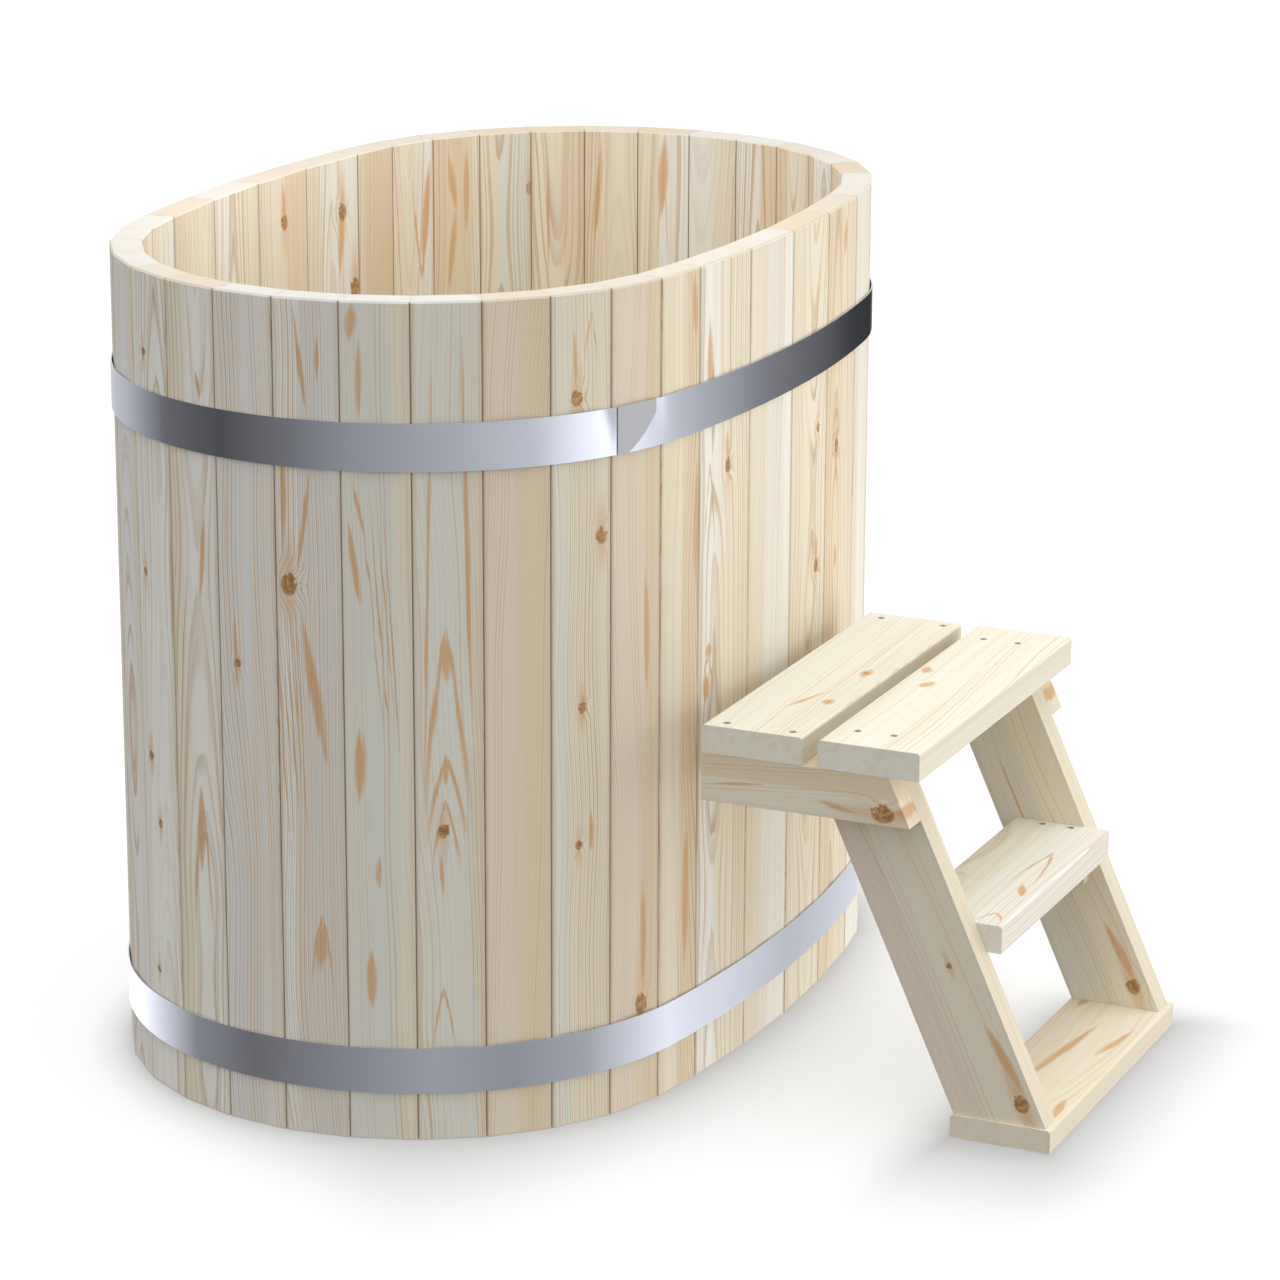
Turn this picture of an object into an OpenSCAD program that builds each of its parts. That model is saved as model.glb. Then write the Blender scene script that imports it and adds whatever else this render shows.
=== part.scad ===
// Oval wooden plunge tub built from bevelled staves under two steel hoops,
// with a two-tread timber step fixed to one long side.
// Millimetres. X runs along the oval, the step is on the -Y side, Z is up and the tub stands on z = 0.

/* [Shell] */
// Overall length of the oval, over the stave corners
outer_length = 1200; // [1120:10:1400]
// Overall width of the oval, over the stave corners
outer_width = 770; // [700:2:850]
// Height of the staves
tub_height = 1000; // [900:10:1100]
// How much smaller the outer radius of the two round ends is than half the width
side_bulge = 18; // [14:1:30]
// Thickness of a stave
stave_thickness = 38; // [32:1:44]
// Narrow staves from the tip of an end to the first wide stave
narrow_staves = 7; // [6:1:7]
// Wide staves from there to the middle of a long side
wide_staves = 2; // [1:1:2]
// Outer width of a wide stave
wide_stave_width = 122; // [100:1:130]
// Open joint left between two staves
stave_joint_gap = 0.2; // [0.1:0.05:0.4]
// Radius of the half-round bead on one edge of each stave
bead_radius = 5; // [3:0.5:7]
// Room round the bead in the cove of the next stave
cove_clearance = 0.3; // [0.1:0.05:0.6]
// Chamfer along the long outer edges of a stave
outer_edge_chamfer = 2; // [0.5:0.1:3]
// Chamfer along the long inner edges of a stave
inner_edge_chamfer = 0.8; // [0.3:0.1:2]
// Chamfer round the rim
rim_chamfer = 2; // [0.5:0.5:5]

/* [Floor] */
// Height of the underside of the floor
floor_height = 62; // [45:1:70]
// Thickness of the floor boards
floor_thickness = 28; // [22:1:34]
// Number of floor boards
floor_boards = 5; // [4:1:5]
// Depth of the croze, the groove in the staves that holds the floor
croze_depth = 10; // [6:1:12]
// Room above and below the floor in the croze
croze_clearance = 0.25; // [0.1:0.05:0.5]
// Room between the floor edge and the bottom of the croze
floor_edge_gap = 0.6; // [0.3:0.1:2]
// Gap between two floor boards
floor_board_gap = 0.3; // [0.2:0.1:1]
// Width of the floor board tongue
floor_tongue_depth = 6; // [4:1:9]
// Thickness of the floor board tongue
floor_tongue_thickness = 8; // [6:0.5:10]
// Room round the floor board tongue
floor_tongue_clearance = 0.3; // [0.2:0.1:0.6]
// Width of a bearer under the floor
bearer_width = 45; // [35:1:60]
// Distance from the middle bearer to each outer one
bearer_spacing = 300; // [250:5:340]
// Gap between a bearer and what it meets
bearer_gap = 0.3; // [0.2:0.1:1]

/* [Hoops] */
// Width of a hoop
hoop_width = 56; // [40:1:60]
// Thickness of the hoop strip
hoop_thickness = 1.5; // [1:0.1:2.5]
// Height of the lower edge of the lower hoop
lower_hoop_height = 59; // [40:1:80]
// Height of the lower edge of the upper hoop
upper_hoop_height = 806; // [700:1:820]
// Gap between a hoop and the stave corners
hoop_gap = 0.3; // [0.2:0.05:0.6]
// Distance of the upper hoop's fold from the tip of the end, along the hoop
seam_distance = 412; // [380:1:440]
// Length of the strip's tail beyond the fold
tail_length = 60; // [45:1:80]
// How far the outer face of the tail stands out from the hoop, at both of its ends
tail_rise = 2; // [1.8:0.1:2.6]
// Radius of the cut across the tail's lower corner
tail_cut_radius = 124; // [80:2:200]
// Distance from the fold to where the cut meets the lower edge
tail_cut_foot = 16; // [10:1:24]
// How far down from the upper edge the tail's end stays straight
tail_end_depth = 14; // [8:1:22]

/* [Drain] */
// Distance of the drain from the middle of the tub, along the oval
drain_offset = 150; // [110:5:190]
// Radius of the flange on the floor
flange_radius = 38; // [34:1:42]
// Thickness of the flange
flange_thickness = 4; // [3:0.5:6]
// Outer radius of the tailpiece, in the floor and the nut
tail_radius = 23.9; // [21.5:0.1:26]
// Outer radius of the plain spigot below, that a waste pipe's socket takes
spigot_radius = 20; // [19.5:0.5:21]
// Length of the tailpiece's thread that shows below the back nut
thread_showing = 4.6; // [2:0.2:8]
// Wall of the spigot
spigot_wall = 3; // [2.5:0.5:4]
// Height of the lower end of the spigot
tail_end_height = 12; // [10:1:14]
// Room round the tailpiece in the floor
drain_hole_clearance = 0.6; // [0.3:0.1:2]
// Radius of the plug seat at the top
seat_radius = 19; // [18.5:0.5:20]
// Depth of the conical plug seat
seat_depth = 18; // [12:1:22]
// Thickness of the gasket
gasket_thickness = 3; // [2:0.5:4]
// Outer radius of the gasket
gasket_radius = 34; // [30:1:38]
// Distance across the flats of the back nut
nut_across_flats = 62; // [56:1:70]
// Thickness of the back nut
nut_thickness = 12; // [8:1:16]
// Radial room in the back nut
nut_clearance = 0.1; // [0.05:0.05:0.3]
// Gap between stacked drain parts
drain_seat_gap = 0.2; // [0.1:0.05:0.4]
// Height of the plug's conical body
plug_height = 15; // [10:1:17]
// Room round the plug in its seat
plug_clearance = 0.2; // [0.05:0.05:0.5]
// Radius of the knob on the plug
knob_radius = 7; // [5:0.5:9]
// Height of the knob above the plug
knob_height = 12; // [8:1:18]

/* [Step] */
// Middle of the step, along the oval
step_centre = -62; // [-100:1:0]
// Distance from the tub's outer side to the platform's inner edge
step_standoff = 25; // [15:1:35]
// Length of the platform boards
platform_length = 528; // [440:2:560]
// Height of the top of the platform
platform_height = 476; // [440:1:520]
// Thickness of the step's boards
board_thickness = 34; // [30:1:38]
// Width of a platform board
platform_board_width = 126; // [110:1:140]
// Gap between the two platform boards
platform_gap = 20; // [10:1:30]
// Thickness of a rail
rail_thickness = 36; // [30:1:40]
// Height of a rail
rail_height = 58; // [50:1:70]
// Thickness of a stringer
stringer_thickness = 34; // [30:1:38]
// Run of a stringer's front edge for one unit of rise
stringer_slope = 0.458; // [0.4:0.002:0.52]
// Depth of a stringer, measured level
stringer_depth = 114; // [100:1:125]
// Distance from the platform's front edge to the stringer's front edge at the platform
stringer_setback = 37; // [25:1:45]
// Width of the base board
base_width = 124; // [118:1:140]
// Thickness of the base board
base_thickness = 28; // [22:1:34]
// How far each end of the base board passes the stringers
base_overhang = 4; // [0:1:10]
// How far the base board passes the stringers' front edge
base_front = 7; // [2:1:8]
// Height of the top of the middle tread
tread_height = 256; // [240:1:270]
// Width of the middle tread
tread_width = 124; // [110:1:130]
// How far the middle tread passes the stringer's front edge, at the tread's top
tread_nosing = 32; // [20:1:40]
// Thickness of a tread cleat
cleat_thickness = 20; // [18:1:28]
// Height of a tread cleat
cleat_height = 34; // [30:1:40]
// Length of a tread cleat
cleat_length = 86; // [76:1:90]
// Width of the ledger under the inner board, beyond the platform's inner edge
ledger_bearing = 30; // [20:1:40]
// Length of the ledger
ledger_length = 320; // [300:10:330]
// Rounding of the long edges of the step's boards
board_edge_radius = 4; // [1:0.5:6]
// Gap between two joined pieces of the step
step_joint_gap = 0.2; // [0.1:0.05:0.4]

/* [Screws] */
// Shank diameter of a step screw
screw_diameter = 4.5; // [4:0.5:6]
// Head diameter of a step screw
screw_head_diameter = 9; // [8:0.5:10]
// Length of a board screw
screw_length = 58; // [52:1:60]
// Length of a tread screw
tread_screw_length = 50; // [46:1:54]
// Length of a cleat screw
cleat_screw_length = 42; // [36:1:46]
// Shank diameter of a ledger screw
ledger_screw_diameter = 6; // [5:0.5:8]
// Length of a ledger screw
ledger_screw_length = 78; // [74:1:80]
// How deep a screw head is set below the face
screw_sink = 0.6; // [0.2:0.1:1.5]
// Radial room round a screw
screw_clearance = 0.1; // [0.05:0.05:0.3]

/* [Hidden] */
$fn = 96;
spruce = [0.87, 0.76, 0.58];
spruce_pale = [0.9, 0.81, 0.65];
steel = [0.72, 0.73, 0.75];
zinc = [0.62, 0.62, 0.6];
black_rubber = [0.06, 0.06, 0.06];
over = 1;
end_steps = 54;
side_steps = 12;

half_length = outer_length / 2;
half_width = outer_width / 2;
end_radius = half_width - side_bulge;
end_centre = half_length - end_radius;
side_radius = (end_centre * end_centre + half_width * half_width - end_radius * end_radius)
  / (2 * (half_width - end_radius));
side_centre = side_radius - half_width;
junction = atan2(side_centre, end_centre);
deg = 180 / PI;
end_arc = end_radius * junction / deg;
quarter_arc = end_arc + side_radius * (90 - junction) / deg;
narrow_width = (quarter_arc - wide_staves * wide_stave_width) / narrow_staves;
per_quarter = narrow_staves + wide_staves;
stave_count = 4 * per_quarter;

// point of the outer oval at a distance s from the tip at +X, within the first quarter
function oval_point(s) = s <= end_arc
  ? [end_centre + end_radius * cos(s / end_radius * deg), end_radius * sin(s / end_radius * deg)]
  : let (g = junction + (s - end_arc) / side_radius * deg)
    [side_radius * cos(g), side_radius * sin(g) - side_centre];
function joint_distance(j) = j <= narrow_staves
  ? j * narrow_width
  : narrow_staves * narrow_width + (j - narrow_staves) * wide_stave_width;
function quarter_point(j) = j == 0 ? [half_length, 0]
  : j == per_quarter ? [0, half_width]
  : oval_point(joint_distance(j));
// outer corner between stave k - 1 and stave k, counted from the tip at +X
function corner(k) = let (
    i = (k + 2 * stave_count) % stave_count,
    q = floor(i / per_quarter),
    j = i % per_quarter,
    p = quarter_point(q % 2 == 0 ? j : per_quarter - j))
  [(q == 1 || q == 2 ? -1 : 1) * p[0], (q >= 2 ? -1 : 1) * p[1]];
function unit(v) = v / norm(v);
function along(k) = unit(corner(k + 1) - corner(k));
function inward(k) = let (e = along(k)) [-e[1], e[0]];
function stave_angle(k) = let (e = along(k)) atan2(e[1], e[0]);
// direction of the bevel at corner k, as long as it has to be for one unit of depth
function bevel(k) = let (m = inward(k - 1), n = inward(k)) (m + n) / (1 + m * n);
function inner_corner(k, depth) = corner(k) + depth * bevel(k);
function ring(depth) = [for (k = [0 : stave_count - 1]) inner_corner(k, depth)];
function two_digits(i) = i < 10 ? str("0", i) : str(i);
function stave_name(k) = str("stave_", two_digits(k + 1));
function board_name(i) = str("floor_board_", i + 1);

inside = stave_thickness;
floor_reach = stave_thickness - croze_depth + floor_edge_gap;
floor_top = floor_height + floor_thickness;
floor_half_width = half_width - floor_reach;
floor_pitch = 2 * floor_half_width / floor_boards;

seat_end_radius = spigot_radius - spigot_wall;
plug_shrink = (seat_radius - seat_end_radius) / seat_depth;
drain_top = floor_top + drain_seat_gap + flange_thickness;
nut_bottom = floor_height - 2 * drain_seat_gap - gasket_thickness - nut_thickness;
spigot_top = nut_bottom - thread_showing;

platform_inner = -half_width - step_standoff;
platform_outer = platform_inner - 2 * platform_board_width - platform_gap;
under_platform = platform_height - board_thickness;
rail_top = under_platform - step_joint_gap;
rail_bottom = rail_top - rail_height;
rail_outer_x = platform_length / 2;
stringer_outer_x = rail_outer_x - rail_thickness - step_joint_gap;
stringer_inner_x = stringer_outer_x - stringer_thickness;
stringer_bottom = base_thickness + step_joint_gap;
front_at_platform = platform_outer + stringer_setback;
function front_edge(z) = front_at_platform - (under_platform - z) * stringer_slope;
function rear_edge(z) = front_edge(z) + stringer_depth;
base_front_y = front_edge(base_thickness) - base_front;
base_half_length = stringer_outer_x + base_overhang;
tread_front = front_edge(tread_height) - tread_nosing;
tread_rear = tread_front + tread_width;
tread_bottom = tread_height - board_thickness;
tread_half_length = stringer_inner_x - step_joint_gap;
cleat_top = tread_bottom - step_joint_gap;
cleat_bottom = cleat_top - cleat_height;
cleat_rear = min(tread_rear, rear_edge(cleat_bottom)) - 5;
ledger_front = platform_inner - ledger_bearing;
ledger_mid_z = rail_bottom + rail_height / 2;

inner_board_x = rail_outer_x - rail_thickness / 2;
outer_board_x = stringer_inner_x + stringer_thickness / 2;
cleat_x = stringer_inner_x - step_joint_gap - cleat_thickness / 2;
inner_screw_y = [platform_inner - 25, platform_inner - platform_board_width + 18];
outer_screw_y = [platform_outer + 97, platform_outer + 52];
tread_screw_y = [cleat_rear - 26, cleat_rear - 63];
cleat_screw_y = [cleat_rear - 12, cleat_rear - 45];
base_screw_y = [rear_edge(base_thickness) - 27, rear_edge(base_thickness) - 75];
rail_screw_y = [front_at_platform + 75, front_at_platform + 22];
ledger_wall_x = [-100, 100];
ledger_board_x = [-130, 130];

// Shell

// plan of stave k: flat outer and inner face, bevelled edges, chamfered corners
module stave_plan(k) {
  e = along(k);
  g = stave_joint_gap / 2;
  outer_a = corner(k) + g * e;
  outer_b = corner(k + 1) - g * e;
  inner_a = inner_corner(k, inside) + g * e;
  inner_b = inner_corner(k + 1, inside) - g * e;
  bevel_a = unit(bevel(k));
  bevel_b = unit(bevel(k + 1));
  c = outer_edge_chamfer;
  d = inner_edge_chamfer;
  polygon([outer_a + c * e, outer_b - c * e, outer_b + c * bevel_b, inner_b - d * bevel_b,
    inner_b - d * e, inner_a + d * e, inner_a - d * bevel_a, outer_a + c * bevel_a]);
}

module bead_circle(k, r) translate(inner_corner(k, inside / 2)) circle(r = r, $fn = 48);

// cutter along a horizontal edge of stave k, square bar turned by 45 degrees
module rim_cutter(k, depth) {
  middle = (inner_corner(k, depth) + inner_corner(k + 1, depth)) / 2;
  bar = rim_chamfer * sqrt(2);
  translate([middle[0], middle[1], tub_height]) rotate([0, 0, stave_angle(k)])
    rotate([45, 0, 0]) cube([2 * wide_stave_width, bar, bar], center = true);
}

module stave(k) {
  middle = (inner_corner(k, inside) + inner_corner(k + 1, inside)) / 2;
  color(spruce) difference() {
    linear_extrude(tub_height) difference() {
      union() {
        stave_plan(k);
        bead_circle(k + 1, bead_radius);
      }
      bead_circle(k, bead_radius + cove_clearance);
    }
    rim_cutter(k, 0);
    rim_cutter(k, inside);
    translate([middle[0], middle[1], floor_height - croze_clearance]) rotate([0, 0, stave_angle(k)])
      translate([-wide_stave_width, -croze_depth, 0])
      cube([2 * wide_stave_width, 2 * croze_depth, floor_thickness + 2 * croze_clearance]);
    for (x = ledger_wall_x) if (holds_ledger_screw(k, step_centre + x))
      translate([step_centre + x, ledger_front, ledger_mid_z]) rotate([-90, 0, 0])
        cylinder(r = ledger_screw_diameter / 2 + screw_clearance, h = ledger_screw_length + over);
  }
}

// true for the stave on the step's side that a ledger screw at x goes into
function holds_ledger_screw(k, x) = corner(k)[1] < 0 && corner(k)[0] <= x && corner(k + 1)[0] > x;

// Hoops

// half of an oval at a distance d outside the shell's: an end arc, then a side arc
function half_oval(d) = concat(
  [for (i = [0 : end_steps]) let (g = (2 * i / end_steps - 1) * junction)
    [end_centre + (end_radius + d) * cos(g), (end_radius + d) * sin(g)]],
  [for (i = [1 : side_steps - 1]) let (g = junction + (180 - 2 * junction) * i / side_steps)
    [(side_radius + d) * cos(g), (side_radius + d) * sin(g) - side_centre]]);
function oval(d) = let (h = half_oval(d)) concat(h, [for (p = h) -p]);

// strip round the oval, drawn in short straight lengths
module band(bottom) translate([0, 0, bottom]) linear_extrude(hoop_width) difference() {
  polygon(oval(hoop_gap + hoop_thickness));
  polygon(oval(hoop_gap));
}

// flat tail of the strip, folded at a distance from the tip at -X, lower corner cut round
module hoop_tail(bottom) {
  turn = seam_distance / end_radius * deg;
  r = end_radius + hoop_gap + hoop_thickness;
  reach = tail_length / r * deg;
  start = (r + tail_rise) * [cos(turn), sin(turn)];
  finish = (r + tail_rise) * [cos(turn + reach), sin(turn + reach)];
  run = finish - start;
  foot = [tail_cut_foot, 0];
  shoulder = [norm(run), hoop_width - tail_end_depth];
  half_chord = (shoulder - foot) / 2;
  cut_centre = foot + half_chord + sqrt(pow(tail_cut_radius, 2) - pow(norm(half_chord), 2))
    * unit([-half_chord[1], half_chord[0]]);
  rotate([0, 0, 180]) translate([end_centre + start[0], start[1], bottom])
    rotate([0, 0, atan2(run[1], run[0])]) translate([0, hoop_thickness, 0]) rotate([90, 0, 0])
    linear_extrude(hoop_thickness) intersection() {
      square([norm(run), hoop_width]);
      translate(cut_centre) circle(r = tail_cut_radius, $fn = 360);
    }
}

module upper_hoop() color(steel) union() {
  band(upper_hoop_height);
  hoop_tail(upper_hoop_height);
}

// the lower hoop's seam is on the far side, out of sight of the step
module lower_hoop() color(steel) union() {
  band(lower_hoop_height);
  rotate([0, 0, 180]) hoop_tail(lower_hoop_height);
}

// Floor

module drain_bore(r, bottom, top) translate([drain_offset, 0, bottom]) cylinder(r = r, h = top - bottom);

// floor board i, counted from the step's side; a tongue on the far edge, a groove on the near one
module floor_board(i) {
  near = -floor_half_width + i * floor_pitch + (i == 0 ? -over : floor_board_gap / 2);
  far = -floor_half_width + (i + 1) * floor_pitch + (i == floor_boards - 1 ? over : -floor_board_gap / 2);
  tongue_z = floor_height + (floor_thickness - floor_tongue_thickness) / 2;
  room = floor_tongue_clearance;
  color(spruce_pale) difference() {
    union() {
      translate([0, 0, floor_height]) linear_extrude(floor_thickness) intersection() {
        polygon(ring(floor_reach));
        translate([-outer_length, near]) square([2 * outer_length, far - near]);
      }
      if (i < floor_boards - 1) translate([0, 0, tongue_z]) linear_extrude(floor_tongue_thickness)
        intersection() {
          polygon(ring(floor_reach));
          translate([-outer_length, far - over]) square([2 * outer_length, floor_tongue_depth + over]);
        }
    }
    if (i > 0) translate([-outer_length, near - over, tongue_z - room])
      cube([2 * outer_length, floor_tongue_depth + over + 2 * room, floor_tongue_thickness + 2 * room]);
    drain_bore(tail_radius + drain_hole_clearance, floor_height - over, floor_top + over);
  }
}

module floor_bearers() color(spruce_pale) for (x = [-bearer_spacing, 0, bearer_spacing])
  linear_extrude(floor_height - bearer_gap) intersection() {
    polygon(ring(inside + bearer_gap));
    translate([x - bearer_width / 2, -outer_width]) square([bearer_width, 2 * outer_width]);
  }

// Drain

module drain_flange() color(steel) translate([drain_offset, 0, 0]) rotate_extrude(angle = 360) {
  low = floor_top + drain_seat_gap;
  polygon([[seat_end_radius, tail_end_height], [spigot_radius, tail_end_height],
    [spigot_radius, spigot_top], [tail_radius, spigot_top], [tail_radius, low],
    [flange_radius - 1, low], [flange_radius, low + 1], [flange_radius, drain_top - 1.5],
    [flange_radius - 2, drain_top], [seat_radius, drain_top],
    [seat_end_radius, drain_top - seat_depth]]);
}

module drain_gasket() {
  top = floor_height - drain_seat_gap;
  color(black_rubber) translate([drain_offset, 0, top - gasket_thickness])
    difference() {
      cylinder(r = gasket_radius, h = gasket_thickness);
      translate([0, 0, -over]) cylinder(r = tail_radius + nut_clearance, h = gasket_thickness + 2 * over);
    }
}

module drain_nut() color(steel) translate([drain_offset, 0, nut_bottom]) difference() {
  cylinder(r = nut_across_flats / sqrt(3), h = nut_thickness, $fn = 6);
  translate([0, 0, -over]) cylinder(r = tail_radius + nut_clearance, h = nut_thickness + 2 * over);
}

module drain_plug() {
  room = plug_clearance;
  color(black_rubber) translate([drain_offset, 0, drain_top - plug_height]) {
    rotate_extrude(angle = 360) polygon([[0, 0],
      [seat_radius - room - plug_shrink * plug_height, 0], [seat_radius - room, plug_height],
      [seat_radius - room - 2, plug_height + 1], [knob_radius - 2.5, plug_height + 1],
      [knob_radius - 2.5, plug_height + knob_height - 6], [knob_radius, plug_height + knob_height - 4],
      [knob_radius, plug_height + knob_height - 2], [knob_radius - 2, plug_height + knob_height],
      [0, plug_height + knob_height]]);
  }
}

// Screws

// screw with its head in the face at z = 0, pointing down; grow widens it for the hole
module screw(length, diameter, grow) {
  head = screw_head_diameter / screw_diameter * diameter / 2;
  r = diameter / 2;
  rotate_extrude(angle = 360) {
    if (grow > 0) polygon([[0, over], [head + grow, over], [head + grow, -screw_sink],
      [r + grow, -screw_sink - head + r - grow], [r + grow, -length - 1], [0, -length - 1]]);
    else polygon([[0, -screw_sink], [head, -screw_sink], [r, -screw_sink - head + r],
      [r, -length + r], [0, -length]]);
  }
}

// every screw of the step: grow = 0 draws the screws with a hexagon socket, more cuts their holes
module all_screws(grow) {
  translate([step_centre, 0, 0]) {
    for (m = [-1, 1]) {
      for (y = inner_screw_y) translate([m * inner_board_x, y, platform_height])
        one_screw(screw_length, screw_diameter, grow);
      for (y = outer_screw_y) translate([m * outer_board_x, y, platform_height])
        one_screw(screw_length, screw_diameter, grow);
      for (y = tread_screw_y) translate([m * cleat_x, y, tread_height])
        one_screw(tread_screw_length, screw_diameter, grow);
      for (y = base_screw_y) translate([m * outer_board_x, y, 0]) rotate([180, 0, 0])
        one_screw(screw_length, screw_diameter, grow);
      for (y = rail_screw_y) translate([m * stringer_inner_x, y, rail_bottom + 14])
        rotate([0, -m * 90, 0]) one_screw(screw_length, screw_diameter, grow);
      for (y = cleat_screw_y) translate([m * (cleat_x - cleat_thickness / 2), y, cleat_bottom + 9])
        rotate([0, -m * 90, 0]) one_screw(cleat_screw_length, screw_diameter, grow);
    }
    for (x = ledger_wall_x) translate([x, ledger_front, ledger_mid_z]) rotate([90, 0, 0])
      one_screw(ledger_screw_length, ledger_screw_diameter, grow);
    for (x = ledger_board_x) translate([x, (ledger_front + platform_inner) / 2, rail_bottom])
      rotate([180, 0, 0]) one_screw(ledger_screw_length, ledger_screw_diameter, grow);
  }
}

module one_screw(length, diameter, grow) {
  if (grow > 0) screw(length, diameter, grow);
  else difference() {
    screw(length, diameter, 0);
    translate([0, 0, -screw_sink - diameter / 3])
      cylinder(r = diameter / 3, h = diameter, $fn = 6);
  }
}

module step_screws() color(zinc) all_screws(0);

// Step

// board along X with its long upper edges rounded, from y0 to y1, top at z
module step_board(half, y0, y1, top, thickness) {
  r = board_edge_radius;
  rotate([90, 0, 90]) translate([0, 0, -half]) linear_extrude(2 * half) union() {
    translate([y0, top - thickness]) square([y1 - y0, thickness - r]);
    translate([y0 + r, top - thickness]) square([y1 - y0 - 2 * r, thickness]);
    for (y = [y0 + r, y1 - r]) translate([y, top - r]) circle(r = r, $fn = 32);
  }
}

module with_screw_holes() difference() {
  translate([step_centre, 0, 0]) children();
  all_screws(screw_clearance);
}

module platform_board_inner() color(spruce_pale) with_screw_holes()
  step_board(platform_length / 2, platform_inner - platform_board_width, platform_inner,
    platform_height, board_thickness);

module platform_board_outer() color(spruce_pale) with_screw_holes()
  step_board(platform_length / 2, platform_outer, platform_outer + platform_board_width,
    platform_height, board_thickness);

// side profile drawn in Y and Z, given a thickness along X from x0
module side_profile(x0, thickness, points) translate([x0, 0, 0]) rotate([90, 0, 90])
  linear_extrude(thickness) polygon(points);

module rail(side) color(spruce_pale) with_screw_holes()
  side_profile(side > 0 ? rail_outer_x - rail_thickness : -rail_outer_x, rail_thickness, [
    [front_edge(rail_bottom), rail_bottom], [platform_inner, rail_bottom],
    [platform_inner, rail_top], [front_edge(rail_top), rail_top]]);

module rail_near() rail(-1);
module rail_far() rail(1);

module stringer(side) color(spruce_pale) with_screw_holes()
  side_profile(side > 0 ? stringer_inner_x : -stringer_outer_x, stringer_thickness, [
    [front_edge(stringer_bottom), stringer_bottom], [rear_edge(stringer_bottom), stringer_bottom],
    [rear_edge(rail_top), rail_top], [front_edge(rail_top), rail_top]]);

module stringer_near() stringer(-1);
module stringer_far() stringer(1);

module middle_tread() color(spruce_pale) with_screw_holes()
  step_board(tread_half_length, tread_front, tread_rear, tread_height, board_thickness);

module tread_cleats() color(spruce_pale) with_screw_holes() for (m = [-1, 1])
  translate([m * cleat_x - cleat_thickness / 2, cleat_rear - cleat_length, cleat_bottom])
    cube([cleat_thickness, cleat_length, cleat_height]);

module base_board() color(spruce_pale) with_screw_holes()
  step_board(base_half_length, base_front_y, base_front_y + base_width, base_thickness,
    base_thickness);

// batten on the wall, its back cut to the staves
module wall_ledger() color(spruce_pale) difference() {
  with_screw_holes() translate([-ledger_length / 2, ledger_front, rail_bottom])
    cube([ledger_length, -ledger_front, rail_height]);
  translate([0, 0, rail_bottom - over]) linear_extrude(rail_height + 2 * over)
    polygon(ring(-step_joint_gap));
}

for (k = [0 : stave_count - 1]) stave(k);
upper_hoop();
lower_hoop();
for (i = [0 : floor_boards - 1]) floor_board(i);
floor_bearers();
drain_flange();
drain_gasket();
drain_nut();
drain_plug();
platform_board_inner();
platform_board_outer();
rail_near();
rail_far();
stringer_near();
stringer_far();
middle_tread();
tread_cleats();
base_board();
wall_ledger();
step_screws();
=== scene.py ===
"""Oval wooden plunge tub with its step: solid softwood, steel hoops, daylight studio."""
import functools
import math
import random
from collections import namedtuple

import bpy
from mathutils import Matrix, Vector


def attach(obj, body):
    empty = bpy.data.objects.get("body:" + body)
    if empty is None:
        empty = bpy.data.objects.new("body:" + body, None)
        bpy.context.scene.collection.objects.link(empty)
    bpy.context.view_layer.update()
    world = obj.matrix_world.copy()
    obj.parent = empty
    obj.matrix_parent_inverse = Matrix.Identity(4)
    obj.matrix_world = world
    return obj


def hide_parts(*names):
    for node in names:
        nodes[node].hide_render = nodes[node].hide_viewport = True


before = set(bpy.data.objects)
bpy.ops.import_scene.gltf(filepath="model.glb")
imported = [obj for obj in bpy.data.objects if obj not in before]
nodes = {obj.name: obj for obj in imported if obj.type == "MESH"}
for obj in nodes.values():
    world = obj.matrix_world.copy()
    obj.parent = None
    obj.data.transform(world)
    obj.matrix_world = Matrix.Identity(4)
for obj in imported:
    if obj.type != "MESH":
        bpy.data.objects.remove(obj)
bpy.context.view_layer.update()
bpy.ops.object.select_all(action="DESELECT")

X, Y, Z = Vector((1, 0, 0)), Vector((0, 1, 0)), Vector((0, 0, 1))
MM = 0.001
# a face is upright if its normal rises or falls less than this
UPRIGHT = 0.01


# shader maths


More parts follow.
